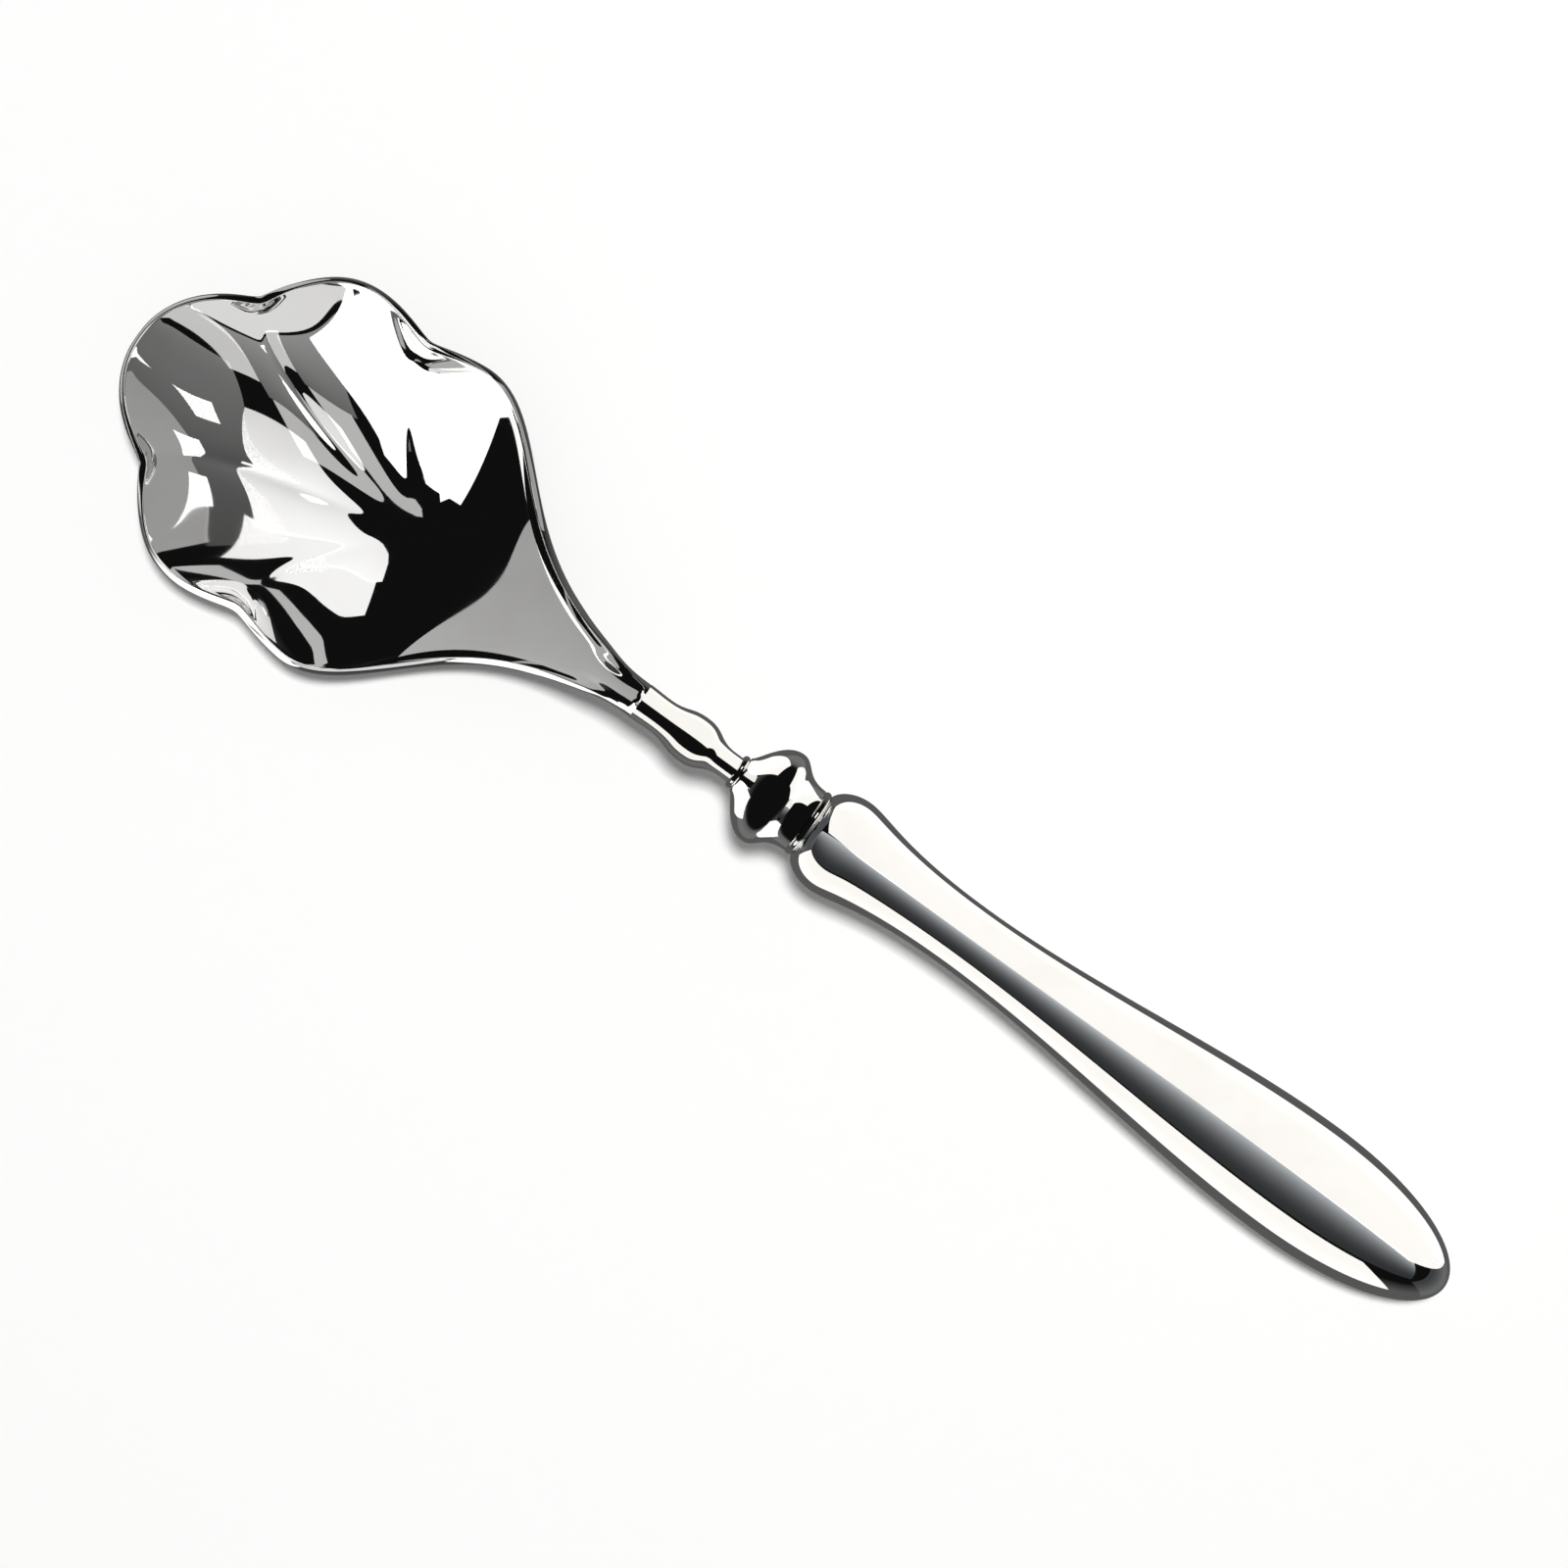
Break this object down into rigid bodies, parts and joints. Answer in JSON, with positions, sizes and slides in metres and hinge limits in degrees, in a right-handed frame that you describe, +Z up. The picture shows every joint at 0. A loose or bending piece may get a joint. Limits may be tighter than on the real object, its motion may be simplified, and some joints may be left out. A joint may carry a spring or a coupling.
{
  "type": "shell serving spoon",
  "caption": "Polished serving spoon with a fluted shell bowl on a turned stem, a beaded knop and a hollow baluster handle, for lifting sugar, berries or salad onto a plate.",
  "frame": {"origin": "bottom centre of the spoon's box as it lies on a table on its bowl and the belly of its handle", "axes": "+X from the bowl's tip towards the handle's tail, +Y across the spoon, +Z up out of the bowl"},
  "size_m": [0.2188, 0.0488, 0.0248],
  "materials": {
    "polished_metal": "mirror polished, faint hairlines from use",
    "rod_steel": "plain drawn and turned steel",
    "set_filler": "dull set filler, hidden inside the handle"
  },
  "bodies": {
    "root": {"bowl": "polished_metal", "stem": "polished_metal", "neck_ring": "polished_metal", "knop": "polished_metal", "collar_ring": "polished_metal", "tang_rod": "rod_steel", "mouth_plug": "rod_steel", "handle_upper_shell": "polished_metal", "handle_lower_shell": "polished_metal", "handle_filler": "set_filler"}
  },
  "joints": []
}
